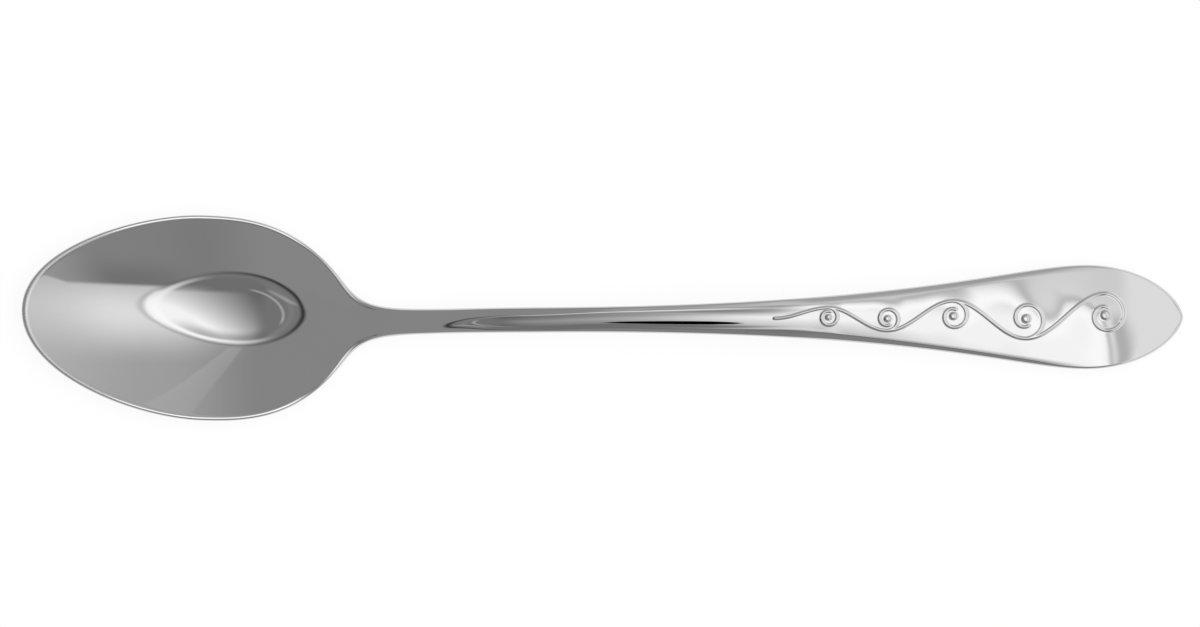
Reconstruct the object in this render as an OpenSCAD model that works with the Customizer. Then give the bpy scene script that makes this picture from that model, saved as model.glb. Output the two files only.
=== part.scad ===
// Long-handled teaspoon, pressed from one steel blank and drawn as four lengths that meet face to face.
// The bowl's tip points to -X and the handle's tip to +X. The bowl opens upward and z = 0 is the table.
// Places along the spoon are measured from the bowl's tip.

/* [Overall] */
// Length from the tip of the bowl to the tip of the handle
spoon_length = 184; // [168:1:225]
// Radius of the rounded corners along the edge of the handle
edge_radius = 0.4; // [0.3:0.05:0.9]

/* [Bowl] */
// Widest width of the bowl
bowl_width = 32.5; // [26:0.5:40]
// Place where the bowl is widest
bowl_widest_at = 28.6; // [24:0.1:33]
// Place where the bowl is deepest
bowl_deepest_at = 32.6; // [28:0.1:36]
// Height of the side rim above the floor at the widest place
bowl_depth = 5.7; // [4:0.1:8]
// Height of the bowl's tip above its floor
tip_rise = 7.23; // [5:0.01:9]
// Steel thickness of the bowl
bowl_wall = 1.4; // [1:0.05:1.8]
// Radius of the rounding along the rim of the bowl, seen from above
rim_radius = 1; // [0.5:0.05:1.2]
// Place of the heel, where the bowl's outline turns in to the neck
heel_at = 50.6; // [48:0.1:54]
// Width of the bowl at the heel
heel_width = 13.3; // [10:0.1:16]
// Height of the top face above the table just past the heel
heel_height = 6.37; // [5:0.01:8]

/* [Neck and stem] */
// Place where the neck leaves the bowl and becomes the handle
neck_at = 66.4; // [62:0.1:72]
// Height of the top of the neck above the table
neck_height = 10.51; // [8:0.01:13]
// Narrowest width of the handle
stem_width = 4; // [3:0.1:6]
// Place where the handle is narrowest
stem_narrowest_at = 83; // [78:0.5:90]
// Thickness of the stem
stem_thickness = 2.7; // [2:0.1:3.4]
// Height of the crown across the stem
stem_crown = 0.4; // [0.1:0.02:0.6]
// Place of the top of the handle's arch
arch_at = 100; // [95:0.5:115]
// Height of the top of the arch above the table
arch_height = 13.46; // [12:0.01:19]

/* [Handle end] */
// Widest width of the handle's end
end_width = 16.5; // [12:0.1:22]
// Distance from the widest place of the end to the handle's tip
end_nose = 15.6; // [12:0.1:20]
// Thickness of the handle's end
end_thickness = 2; // [1.6:0.1:2.8]
// Height of the crown across the handle's end
end_crown = 0.3; // [0.1:0.05:0.8]

/* [Set of the centreline in plan] */
// Sideways offset of the bowl's tip
tip_offset = 1; // [-2:0.05:2]
// Sideways offset of the centreline at the heel
heel_offset = -0.8; // [-2:0.05:2]
// Sideways offset of the centreline at the narrowest place
stem_offset = -0.45; // [-2:0.05:2]

/* [Twist of the handle] */
// Sideways slope of the top face along the stem, where up is towards +Y
stem_twist = 0.064; // [-0.1:0.002:0.1]
// Sideways slope of the top face at the handle's tip
end_twist = -0.046; // [-0.1:0.002:0.1]

/* [Fineness] */
// Facets across the width
across = 20; // [12:2:28]

/* [Hidden] */
steel = [0.74, 0.75, 0.77];

// Outline: five curves in (place, half width), each with two end points and two handle points.
// A reach is how far a curve holds its direction away from that end.
bowl_half = bowl_width / 2;
heel_half = heel_width / 2;
stem_half = stem_width / 2;
end_half = end_width / 2;
end_widest_at = spoon_length - end_nose;
tip_reach = 10.2;
widest_reach_tip = 10.4;
widest_reach_heel = 6.5;
heel_direction = [1, -1.3];
heel_reach_bowl = 7.1;
heel_reach_neck = 4.2;
stem_reach_neck = 26.6;
stem_reach_end = 59;
end_reach_stem = 11.5;
end_reach_nose = 10.3;
nose_reach = 2.45;
widest_point = [bowl_widest_at, bowl_half];
heel_point = [heel_at, heel_half];
narrowest_point = [stem_narrowest_at, stem_half];
end_point = [end_widest_at, end_half];
tip_curve = [[0, 0], [0, tip_reach], widest_point - [widest_reach_tip, 0], widest_point];
side_curve = [widest_point, widest_point + [widest_reach_heel, 0],
              heel_point - heel_reach_bowl * heel_direction, heel_point];
neck_curve = [heel_point, heel_point + heel_reach_neck * heel_direction,
              narrowest_point - [stem_reach_neck, 0], narrowest_point];
swell_curve = [narrowest_point, narrowest_point + [stem_reach_end, 0],
               end_point - [end_reach_stem, 0], end_point];
nose_curve = [end_point, end_point + [end_reach_nose, 0],
              [spoon_length, nose_reach], [spoon_length, 0]];

// Share of the neck curve that belongs to the bowl, and share of the swell that belongs to the stem.
bowl_share = 0.4;
stem_share = 0.24;

// Rows of facets along each curve, and along the two lengths of the curves that are shared.
tip_rows = 16;
side_rows = 12;
heel_rows = 4;
neck_rows = 10;
stem_rows = 10;
swell_rows = 16;
nose_rows = 14;

// Side profile: place, height, slope and curvature of the top face along the centreline.
// Each knot's height is the one that its slopes and curvatures lead to, so that the polish shows no waves.
floor_height = bowl_wall;
fore_before = 15.6;
fore_rise = 2.165;
heel_before = 4.6;
heel_rise = 2.04;
heel_after = 4.4;
neck_after = 1.4;
shoulder_before = 3;
shoulder_drop = 0.873;
tip_knot = [0, floor_height + tip_rise, -0.34, 0.004];
fore_knot = [bowl_deepest_at - fore_before, floor_height + fore_rise, -0.246, 0.0075];
floor_knot = [bowl_deepest_at, floor_height, 0, 0.0188];
heel_knot = [heel_at - heel_before, floor_height + heel_rise, 0.299, 0.0165];
rise_knot = [heel_at + heel_after, heel_height, 0.328, 0];
neck_knot = [neck_at + neck_after, neck_height, 0.283, -0.0165];
shoulder_knot = [stem_narrowest_at - shoulder_before, arch_height - shoulder_drop, 0.083, -0.004];

// The handle's tip touches the table. Its slope makes the underside deeper by about as much as the rounded
// corner lifts it, so its top face is one thickness high.
handle_tip_height = end_thickness;

// The handle falls from the arch to its tip. The fall is given for one run and drop, and it stretches
// to any other.
drawn_run = 84;
drawn_drop = 11.48;
run_scale = (spoon_length - arch_at) / drawn_run;
drop_scale = (arch_height - handle_tip_height) / drawn_drop;

// Knot of the fall, as drawn: distance past the arch, drop below it, slope and curvature.
function fall_knot(run, drop, slope, curvature) =
    [arch_at + run * run_scale, arch_height - drop * drop_scale,
     slope * drop_scale / run_scale, curvature * drop_scale / (run_scale * run_scale)];

profile_knots = [
    tip_knot, fore_knot, floor_knot, heel_knot, rise_knot, neck_knot, shoulder_knot,
    fall_knot(0, 0, -0.003, -0.0062),
    fall_knot(24, 1.88, -0.133, -0.001),
    fall_knot(70, 8.225, -0.162, -0.0035),
    fall_knot(drawn_run, drawn_drop, -0.323, -0.012)];

// Plan: sideways offset of the centreline, with its slope and curvature.
tip_turn = -0.053;
heel_turn = -0.013;
heel_bend = 0.0044;
stem_turn = 0.006;
plan_knots = [
    [0, tip_offset, tip_turn, 0],
    [heel_at, heel_offset, heel_turn, heel_bend],
    [stem_narrowest_at, stem_offset, stem_turn, 0],
    [spoon_length, 0, 0, 0]];

// The hollow tightens across the heel, then runs out flat into the neck.
// Each span is a start and an end place.
bowl_curvature = bowl_depth / (bowl_half * bowl_half);
heel_curvature = 0.042;
hollow_tightens = [heel_at - 7.6, heel_at + 4.4];
hollow_ends = [heel_at, neck_at - 4.4];
wall_grows = [heel_at - 6, neck_at];
rim_ends = [heel_at, neck_at];
crown_starts = [neck_at - 11.4, neck_at + 4.6];
crown_falls = [arch_at + 18 * run_scale, arch_at + 58 * run_scale];
end_thins = [arch_at, end_widest_at - 3];

// The heel leans one way before the stem leans the other. The end is level at first, then leans back.
heel_twist = -0.055;
neck_twist = -0.018;
heel_twists = [heel_at + 3.4, heel_at + 13.4];
neck_twists = [neck_at - 1.4, neck_at + 5.6];
stem_twists = [stem_narrowest_at - 7, stem_narrowest_at + 14];
end_levels = [arch_at + 21 * run_scale, arch_at + 49 * run_scale];
end_twists = [end_widest_at - 19.4, end_widest_at + 13.6];

// Smooth step from 0 to 1 between two places.
function ease(span, s) =
    let (t = min(1, max(0, (s - span[0]) / (span[1] - span[0]))))
    t * t * t * (t * (6 * t - 15) + 10);

// Value between two knots of place, value, slope and curvature.
function between(a, b, s) =
    let (h = b[0] - a[0], t = (s - a[0]) / h, t2 = t * t, t3 = t2 * t, t4 = t3 * t, t5 = t4 * t)
    a[1] * (1 - 10 * t3 + 15 * t4 - 6 * t5)
    + a[2] * h * (t - 6 * t3 + 8 * t4 - 3 * t5)
    + a[3] * h * h * (t2 - 3 * t3 + 3 * t4 - t5) / 2
    + b[1] * (10 * t3 - 15 * t4 + 6 * t5)
    + b[2] * h * (-4 * t3 + 7 * t4 - 3 * t5)
    + b[3] * h * h * (t3 - 2 * t4 + t5) / 2;

function along(knots, s, i = 0) =
    i == len(knots) - 2 || s <= knots[i + 1][0]
    ? between(knots[i], knots[i + 1], s)
    : along(knots, s, i + 1);

function slope(knots, s, step = 0.01) = (along(knots, s + step) - along(knots, s - step)) / (2 * step);

function curve_point(c, t) =
    let (u = 1 - t)
    u * u * u * c[0] + 3 * u * u * t * c[1] + 3 * u * t * t * c[2] + t * t * t * c[3];

function curve_direction(c, t) =
    let (u = 1 - t)
    3 * u * u * (c[1] - c[0]) + 6 * u * t * (c[2] - c[1]) + 3 * t * t * (c[3] - c[2]);

// A station is its place, its half width and the half width times its rate of change along the spoon.
function station(c, t) =
    let (p = curve_point(c, t), d = curve_direction(c, t))
    [p[0], p[1], p[1] * d[1] / d[0]];

function stations(c, count, from = 0, to = 1) =
    [for (i = [0 : count]) station(c, from + (to - from) * i / count)];

// Curvature across the top face: hollow in the bowl, crowned on the handle.
function hollow(s) =
    (bowl_curvature + (heel_curvature - bowl_curvature) * ease(hollow_tightens, s))
    * (1 - ease(hollow_ends, s));

function crown(s) =
    stem_crown * ease(crown_starts, s) + (end_crown - stem_crown) * ease(crown_falls, s);

function thickness(s) =
    bowl_wall + (stem_thickness - bowl_wall) * ease(wall_grows, s)
    + (end_thickness - stem_thickness) * ease(end_thins, s);

// Sideways slope of the whole section.
function twist(s) =
    heel_twist * ease(heel_twists, s) + (neck_twist - heel_twist) * ease(neck_twists, s)
    + (stem_twist - neck_twist) * ease(stem_twists, s) - stem_twist * ease(end_levels, s)
    + end_twist * ease(end_twists, s);

function rounding(s) = rim_radius + (edge_radius - rim_radius) * ease(rim_ends, s);

// Height at a distance v from the centreline as a share of the corner's height, round at the edge.
function edge_share(st, v) =
    let (w = st[1], reach = 2 * sqrt(st[2] * st[2] + v * v))
    let (inset = reach > 0 ? min(1, (w * w - v * v) / reach / rounding(st[0])) : 1)
    sqrt(max(0, 1 - (1 - inset) * (1 - inset)));

// Point on the top (side 1), the underside (side -1) or the middle of the edge (side 0).
// It lies at a share f, from -1 to 1, of the half width. A corner is no higher than half the thickness.
function skin_point(st, f, side) =
    let (s = st[0], v = f * st[1], bend = hollow(s), tilt = slope(profile_knots, s))
    let (drop = crown(s) * f * f, lean = twist(s), fall = 2 * bend * v + lean)
    let (top = along(profile_knots, s) + bend * v * v + lean * v - drop)
    let (deep = thickness(s) * sqrt(1 + tilt * tilt + fall * fall) - drop)
    let (corner = min(rounding(s), deep / 2) * (1 - edge_share(st, v)))
    [s - spoon_length / 2, along(plan_knots, s) + v, top - deep / 2 + side * (deep / 2 - corner)];

// Tip of the blank, where the outline closes.
function tip_point(s) =
    [s - spoon_length / 2, along(plan_knots, s), along(profile_knots, s) - thickness(s) / 2];

// Ring round one station: across the top from -Y to +Y, then back along the underside.
function ring(st) = concat(
    [for (j = [0 : across]) skin_point(st, sin(180 * j / across - 90), j % across == 0 ? 0 : 1)],
    [for (j = [across - 1 : -1 : 1]) skin_point(st, sin(180 * j / across - 90), -1)]);

// Solid through the stations, closed by a flat face or by a tip point at each end.
module blank_length(rows, first_tip = [], last_tip = []) {
    size = 2 * across;
    last = len(rows) - 1;
    tips = concat(first_tip, last_tip);
    points = concat([for (st = rows) each ring(st)], tips);
    first_apex = size * len(rows);
    last_apex = first_apex + len(first_tip);
    far = size * last;
    sides = [for (i = [0 : last - 1], j = [0 : size - 1])
        let (a = size * i + j, b = size * i + (j + 1) % size)
        each [[a, b + size, a + size], [a, b, b + size]]];
    // A flat end is a strip of triangles between the top and the underside.
    strip = [for (j = [0 : across - 1])
        let (over = j, next = j + 1, under = (size - j) % size, below = size - j - 1)
        each concat(j < across - 1 ? [[over, below, next]] : [],
                    j > 0 ? [[over, under, below]] : [])];
    first_end = len(first_tip) > 0
        ? [for (j = [0 : size - 1]) [(j + 1) % size, j, first_apex]]
        : strip;
    last_end = len(last_tip) > 0
        ? [for (j = [0 : size - 1]) [far + j, far + (j + 1) % size, last_apex]]
        : [for (t = strip) [far + t[2], far + t[1], far + t[0]]];
    polyhedron(points, concat(sides, first_end, last_end), convexity = 6);
}

// Rows that follow another curve leave out its last station, which they share.
function tail(rows) = [for (i = [1 : len(rows) - 1]) rows[i]];

module bowl() {
    color(steel) blank_length(
        concat(stations(tip_curve, tip_rows - 1, from = 1 / tip_rows), tail(stations(side_curve, side_rows)),
               tail(stations(neck_curve, heel_rows, to = bowl_share))),
        first_tip = [tip_point(0)]);
}

module neck() {
    color(steel) blank_length(stations(neck_curve, neck_rows, from = bowl_share));
}

module stem() {
    color(steel) blank_length(stations(swell_curve, stem_rows, to = stem_share));
}

module handle_end() {
    color(steel) blank_length(
        concat(stations(swell_curve, swell_rows, from = stem_share),
               tail(stations(nose_curve, nose_rows - 1, to = 1 - 1 / nose_rows))),
        last_tip = [tip_point(spoon_length)]);
}

bowl();
neck();
stem();
handle_end();
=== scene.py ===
# %% [markdown]
# # A long-handled teaspoon in polished steel
# A real teaspoon is stamped from one flat strip of stainless steel. The strip is blanked to its outline,
# pressed in a die that forms the bowl, the arch of the handle and the raised scroll, then trimmed and
# polished like a mirror. This lesson sets the stage first and mixes the steel. Then it draws the rules of the
# blank, presses a bar for each length of the spoon, and raises the scroll on the last one.
#
# The imported model is the frame that everything is built around. It comes in once, its parts' boxes give the
# length and the places of the pieces, and each part is hidden when the piece that stands for it is made.

import math

import bmesh
import bpy
import numpy as np
from mathutils.kdtree import KDTree
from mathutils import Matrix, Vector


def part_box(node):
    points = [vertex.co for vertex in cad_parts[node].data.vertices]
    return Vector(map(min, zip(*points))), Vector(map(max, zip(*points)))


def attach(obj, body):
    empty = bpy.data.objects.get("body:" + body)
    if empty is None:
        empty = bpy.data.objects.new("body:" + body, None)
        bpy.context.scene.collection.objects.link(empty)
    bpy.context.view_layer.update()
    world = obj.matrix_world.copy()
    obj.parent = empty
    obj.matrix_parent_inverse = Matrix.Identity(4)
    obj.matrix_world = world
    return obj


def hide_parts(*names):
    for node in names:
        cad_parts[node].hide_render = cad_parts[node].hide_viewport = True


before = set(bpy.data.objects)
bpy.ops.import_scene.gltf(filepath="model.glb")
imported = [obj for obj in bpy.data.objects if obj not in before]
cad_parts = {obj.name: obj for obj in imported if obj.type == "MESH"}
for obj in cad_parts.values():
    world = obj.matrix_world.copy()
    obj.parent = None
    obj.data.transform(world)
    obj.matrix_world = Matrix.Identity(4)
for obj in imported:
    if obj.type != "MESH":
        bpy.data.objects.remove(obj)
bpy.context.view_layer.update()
scene = bpy.context.scene
scene.view_settings.view_transform = "Standard"


# %% [markdown]
# ## The camera
# The spoon is seen straight from above, with its bowl to the left. A long lens well away from it keeps the
# outline nearly free of perspective, as in a catalogue picture. The lens follows from the distance and from
# the width that the picture takes in at the steel, so the sizes that matter are the ones written down.

# %% Camera above the table
CAMERA_HEIGHT = 1.5
PICTURE_WIDTH = 0.1897
MEAN_STEEL_HEIGHT = 0.008
PICTURE_CENTRE = (-0.00055, 0.00055)

bpy.ops.object.select_all(action="DESELECT")
bpy.ops.object.camera_add(location=(*PICTURE_CENTRE, CAMERA_HEIGHT), rotation=(0, 0, 0))
camera = bpy.context.object
camera.data.lens = camera.data.sensor_width * (CAMERA_HEIGHT - MEAN_STEEL_HEIGHT) / PICTURE_WIDTH
scene.camera = camera
print("lens in millimetres", round(camera.data.lens, 1))

# %% [markdown]
# ## Small helpers for nodes
# Shaders are built from nodes, and most of ours do arithmetic. Four helpers keep the cells short: one joins a
# value to a socket, one does a sum, one measures a distance, and one steps smoothly between two values.

# %% Node helpers
def join(tree, value, socket):
    """Links an output to a socket, or sets the socket to a plain number or colour."""
    if isinstance(value, bpy.types.NodeSocket):
        tree.links.new(value, socket)
    else:
        socket.default_value = value


def reckon(tree, operation, *values):
    """A Math node on up to three values."""
    node = tree.nodes.new("ShaderNodeMath")
    node.operation = operation
    for value, socket in zip(values, node.inputs):
        join(tree, value, socket)
    return node.outputs["Value"]


def distance_to(tree, x, y):
    """Distance from the middle to a point at x and y."""
    squares = reckon(tree, "ADD", reckon(tree, "MULTIPLY", x, x), reckon(tree, "MULTIPLY", y, y))
    return reckon(tree, "SQRT", squares)


def step(tree, value, span, low=0.0, high=1.0):
    """Goes smoothly from low at the start of a span to high at its end."""
    node = tree.nodes.new("ShaderNodeMapRange")
    node.interpolation_type = "SMOOTHSTEP"
    join(tree, value, node.inputs["Value"])
    node.inputs["From Min"].default_value = span[0]
    node.inputs["From Max"].default_value = span[1]
    node.inputs["To Min"].default_value = low
    node.inputs["To Max"].default_value = high
    return node.outputs["Result"]


# %% [markdown]
# The table and the cards further on need the same few things: a material without nodes, a neutral colour, a
# plain white glow, and a mix of two shaders that is shown on the surface.

# %% Material helpers
def empty_material(name):
    """A new material without nodes, and its node tree."""
    material = bpy.data.materials.new(name)
    material.use_nodes = True
    material.node_tree.nodes.clear()
    return material, material.node_tree


def grey_colour(level):
    return (level, level, level, 1)


def white_glow(tree, strength):
    node = tree.nodes.new("ShaderNodeEmission")
    node.inputs["Strength"].default_value = strength
    return node.outputs["Emission"]


def show_mix(tree, share, first, second):
    """Shows the first shader where share is 0 and the second where it is 1."""
    mix = tree.nodes.new("ShaderNodeMixShader")
    join(tree, share, mix.inputs["Fac"])
    tree.links.new(first, mix.inputs[1])
    tree.links.new(second, mix.inputs[2])
    out = tree.nodes.new("ShaderNodeOutputMaterial")
    tree.links.new(mix.outputs["Shader"], out.inputs["Surface"])


# %% [markdown]
# ## The table
# The ground is plain white. A floor that is only lit would have to be lit very strongly to look white, and
# that light would burn out the steel. So most of its white is shown to the camera, and to rays that bounce
# off the steel, as a plain glow of strength 1. The rest is ordinary matt white, which keeps the spoon's soft
# shadow. The table lies a hair under the spoon, so that the two never share a surface.

# %% White table
TABLE_SIDE = 6.0
TABLE_GAP = 0.00001
TABLE_WHITE = 0.96
GLOW_SHARE = 0.86
PLAIN_WHITE = 1.0


def table_white():
    """Matt white that also glows for camera, mirror and glass rays."""
    material, tree = empty_material("table_white")
    path = tree.nodes.new("ShaderNodeLightPath").outputs
    seen = reckon(tree, "MAXIMUM", path["Is Camera Ray"], path["Is Glossy Ray"])
    seen = reckon(tree, "MAXIMUM", seen, path["Is Transmission Ray"])
    matt = tree.nodes.new("ShaderNodeBsdfDiffuse")
    matt.inputs["Color"].default_value = grey_colour(TABLE_WHITE)
    share = reckon(tree, "MULTIPLY", seen, GLOW_SHARE)
    show_mix(tree, share, matt.outputs["BSDF"], white_glow(tree, PLAIN_WHITE))
    return material


bpy.ops.object.select_all(action="DESELECT")
bpy.ops.mesh.primitive_plane_add(size=TABLE_SIDE, location=(0, 0, -TABLE_GAP))
table = bpy.context.object
table.name = "table"
table.data.materials.append(table_white())
print("table", TABLE_SIDE, "m wide,", TABLE_GAP, "m under the spoon")

# %% [markdown]
# ## Soft light on the table
# One broad lamp overhead and the sky light the table. Polished steel has no shading of its own, it only
# mirrors what stands round it, so the lamp is kept out of the mirror and the next cells build what the steel
# sees.

# %% Broad lamp
LAMP_HEIGHT = 0.9
LAMP_SIDE = 0.6
LAMP_LEVEL = 0.62

bpy.ops.object.select_all(action="DESELECT")
bpy.ops.object.light_add(type="AREA", location=(0, 0, LAMP_HEIGHT))
lamp = bpy.context.object
lamp.data.size = LAMP_SIDE
# Under a small lamp, a white surface shines at the lamp's power over the square of pi times its height.
lamp.data.energy = LAMP_LEVEL * (math.pi * LAMP_HEIGHT) ** 2
lamp.visible_glossy = False
lamp.visible_camera = False
print("lamp power", round(lamp.data.energy, 2), "W")

# %% [markdown]
# ## What the steel mirrors
# The spoon lies in a soft white tent with a round opening overhead. The bowl shows that opening as a bright
# drop, the rim squeezes it into a thin line, and the handle stretches it from end to end. A tent made as
# geometry would hide the spoon from other cameras, so the tent is painted on the sky by direction instead.
# It begins with an empty sky and a few helpers that make the painting readable: the four sums, an amount
# added by shares, a fade from one level to another, a rise over a span, and a band.

# %% Empty sky and painting helpers
studio = bpy.data.worlds.new("studio")
scene.world = studio
studio.use_nodes = True
sky = studio.node_tree
sky.nodes.clear()


def plus(a, b):
    return reckon(sky, "ADD", a, b)


def less(a, b):
    return reckon(sky, "SUBTRACT", a, b)


def times(a, b):
    return reckon(sky, "MULTIPLY", a, b)


def over(a, b):
    return reckon(sky, "DIVIDE", a, b)


def plus_share(base, share, amount):
    """The base, with an amount added where share is 1 and none where it is 0."""
    return reckon(sky, "MULTIPLY_ADD", share, amount, base)


def fade(first, second, share):
    """First where share is 0, second where share is 1."""
    return plus(first, times(less(second, first), share))


def rising(value, span, low=0.0, high=1.0):
    return step(sky, value, span, low, high)


def size_of(value):
    """The value without its sign."""
    return reckon(sky, "ABSOLUTE", value)


def band(value, at, half_width):
    """1 where the value is at a mark, falling to 0 on both sides of it."""
    return rising(size_of(less(value, at)), (half_width, 0))


# %% [markdown]
# Every direction is given as two angles from straight up: one to the right, one to the far side of the table.
# All sizes below are degrees on that map, and all levels are brightness, where 1 is white.

# %% Angles from straight up
axes = sky.nodes.new("ShaderNodeSeparateXYZ")
sky.links.new(sky.nodes.new("ShaderNodeTexCoord").outputs["Generated"], axes.inputs["Vector"])
way_right, way_far, way_up = (axes.outputs[name] for name in "XYZ")
flat = distance_to(sky, way_right, way_far)
from_zenith = reckon(sky, "DEGREES", reckon(sky, "ARCCOSINE", way_up))
per_flat = over(from_zenith, flat)
right = times(way_right, per_flat)
far = times(way_far, per_flat)
print("sky nodes for the angles", len(sky.nodes))

# %% [markdown]
# The tent's cloth is mid grey overhead and its right side is lit, most of all straight to the right.

# %% Lit cloth
CLOTH, LIT_CLOTH, SIDE_CLOTH = 0.355, 0.185, 0.16
LIT_SPAN, SIDE_SPAN = (-14, 22), (22, 38)
GLOW_AT, GLOW_HALF = -2.0, 39.0
GLOW_SPAN, GLOW_LEVELS = (25, 35), (0.57, 0.17)

lit = rising(right, LIT_SPAN)
glow = times(band(far, GLOW_AT, GLOW_HALF), rising(right, GLOW_SPAN, *GLOW_LEVELS))
lit_level = plus(LIT_CLOTH, rising(right, SIDE_SPAN, 0.0, SIDE_CLOTH))
upper = plus(CLOTH, times(lit, plus(glow, lit_level)))
print("sky nodes with the lit cloth", len(sky.nodes))

# %% [markdown]
# A lighter panel hangs on the far side and fades on its way down to the table. Its two edges are straight but
# lean: with every degree to the far side they stand a share of a degree further to the right.

# %% Lighter panel
PANEL = 0.085
LEFT_LEAN, LEFT_EDGE = 0.377, (-15.2, -13.8)
RIGHT_LEAN, RIGHT_EDGE = 0.6, (-14.0, -15.5)
PANEL_STARTS = (19, 24)
PANEL_FADES, FADED_SHARE = (30, 60), 0.5

past_left_edge = rising(plus_share(right, far, -LEFT_LEAN), LEFT_EDGE)
before_right_edge = rising(plus_share(right, far, -RIGHT_LEAN), RIGHT_EDGE)
down_the_panel = times(rising(far, PANEL_STARTS), rising(far, PANEL_FADES, 1.0, FADED_SHARE))
panel = times(times(past_left_edge, before_right_edge), down_the_panel)
upper = plus_share(upper, panel, PANEL)
print("sky nodes with the panel", len(sky.nodes))

# %% [markdown]
# On the near side the cloth hangs in the shade, which deepens from the left to the middle. Right of the
# middle it is a little darker high up and a little lighter low down, and on the far right it lightens. A
# clean edge divides it from the lit cloth, and that edge sinks on the right.

# %% Shaded cloth
SHADED_CLOTH = 0.365
TO_MIDDLE, MIDDLE_CHANGE = (-20, 5), -0.055
PAST_MIDDLE = (5, 22)
HIGH_UP, HIGH_CHANGE = (-48, -26), -0.05
LOW_DOWN, LOW_CHANGE = (-28, -44), 0.025
FAR_RIGHT, FAR_RIGHT_CHANGE = (24.5, 31), 0.2
SHADE_EDGE = (-24.9, -21.3)
EDGE_SINKS_FROM, EDGE_SINKS_BY = 29.4, 4.0

shade = plus(SHADED_CLOTH, rising(right, TO_MIDDLE, 0.0, MIDDLE_CHANGE))
down_the_wall = plus(rising(far, HIGH_UP, 0.0, HIGH_CHANGE), rising(far, LOW_DOWN, 0.0, LOW_CHANGE))
shade = plus(shade, times(rising(right, PAST_MIDDLE), down_the_wall))
shade = plus(shade, rising(right, FAR_RIGHT, 0.0, FAR_RIGHT_CHANGE))
past_bend = reckon(sky, "MAXIMUM", less(right, EDGE_SINKS_FROM), 0.0)
above_edge = rising(plus_share(far, past_bend, EDGE_SINKS_BY), SHADE_EDGE)
wall = fade(shade, upper, above_edge)
print("sky nodes with the shaded cloth", len(sky.nodes))

# %% [markdown]
# Low in its four corners, far from straight up, the tent's cloth glows. The steel shows the corners when it
# is seen from the side, and so its curves have a light and a dark side there too.

# %% Glowing corners
CORNER_GLOW = 0.6
CORNER_SPAN = (0.35, 0.95)
CORNER_STARTS = (70.0, 82.0)

# Twice the product of the two level shares is 1 halfway between the axes and 0 along each of them.
crossways = times(over(way_right, flat), over(way_far, flat))
cornerwise = times(size_of(crossways), 2.0)
corner = times(rising(cornerwise, CORNER_SPAN), rising(from_zenith, CORNER_STARTS))
wall = plus_share(wall, corner, CORNER_GLOW)
print("sky nodes with the corners", len(sky.nodes))

# %% [markdown]
# The opening is a circle a little to the left and to the near side. Through it the steel sees a soft ball of
# light that brightens to the right and to the far side, but is darker along the far rim, on the left and in
# the near part.

# %% Light in the opening
OPENING_CENTRE = (-4.6, -7.2)
DIM, BRIGHT, BRIGHTEST = 0.22, 1.25, 1.42
RAMP_FROM, RAMP_LENGTH, RAMP_POWER = -18.0, 34.0, 1.4
FAR_GAIN, GAIN_FROM = 0.033, -6.0
FAR_RIM_DIM, FAR_RIM_SPAN, FAR_RIM_WAY = 0.5, (16, 22.5), (0.3, 0.9)
LEFT_DIM, LEFT_SPAN = 0.26, (-19, -11)
NEAR_DIM, NEAR_SPAN = 0.24, (-22.5, -18.5)
NEAR_LIT, NEAR_LIT_RIGHT, NEAR_LIT_FAR = 0.25, (0, 14), (-26, -21)


def polar(centre):
    """Distance from a centre on the map, and how far that is to the right and to the far side, as shares."""
    x = less(right, centre[0])
    y = less(far, centre[1])
    distance = distance_to(sky, x, y)
    return distance, over(x, distance), over(y, distance)


radius, to_right, to_far = polar(OPENING_CENTRE)
ramp = reckon(sky, "MAXIMUM", over(plus(right, -RAMP_FROM), RAMP_LENGTH), 0.0)
ball = plus_share(DIM, reckon(sky, "POWER", ramp, RAMP_POWER), BRIGHT)
ball = times(ball, reckon(sky, "EXPONENT", times(plus(far, -GAIN_FROM), FAR_GAIN)))
ball = reckon(sky, "MINIMUM", ball, BRIGHTEST)
far_rim = times(rising(radius, FAR_RIM_SPAN), rising(to_far, FAR_RIM_WAY))
ball = times(ball, fade(1.0, FAR_RIM_DIM, far_rim))
ball = fade(LEFT_DIM, ball, rising(right, LEFT_SPAN))
near_lit = times(rising(right, NEAR_LIT_RIGHT), rising(far, NEAR_LIT_FAR))
ball = fade(plus_share(NEAR_DIM, near_lit, NEAR_LIT), ball, rising(far, NEAR_SPAN))
print("sky nodes with the light", len(sky.nodes))

# %% [markdown]
# A hoop runs round the inside of the opening's edge, brightest to the right and the far side. On the left a
# faint glint follows it.

# %% Hoop in the opening
HOOP_RADIUS, HOOP_HALF = 25.0, 1.9
HOOP_DIM, HOOP_BRIGHT = 0.27, 1.5
HOOP_LEAN, HOOP_WAY = 0.55, (-0.4, 1.1)
GLINT, GLINT_WAY = 0.05, (-0.3, -0.8)
GLINT_RADIUS, GLINT_HALF = 23.3, 2.0

bright_way = rising(plus_share(to_right, to_far, HOOP_LEAN), HOOP_WAY)
hoop = plus_share(HOOP_DIM, bright_way, HOOP_BRIGHT - HOOP_DIM)
inside = fade(ball, hoop, band(radius, HOOP_RADIUS, HOOP_HALF))
glint = times(band(radius, GLINT_RADIUS, GLINT_HALF), rising(to_right, GLINT_WAY))
inside = plus_share(inside, glint, GLINT)
print("sky nodes with the hoop", len(sky.nodes))

# %% [markdown]
# Two thin light cords hang inside the opening on the left: one bent like the opening, one straight.

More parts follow.
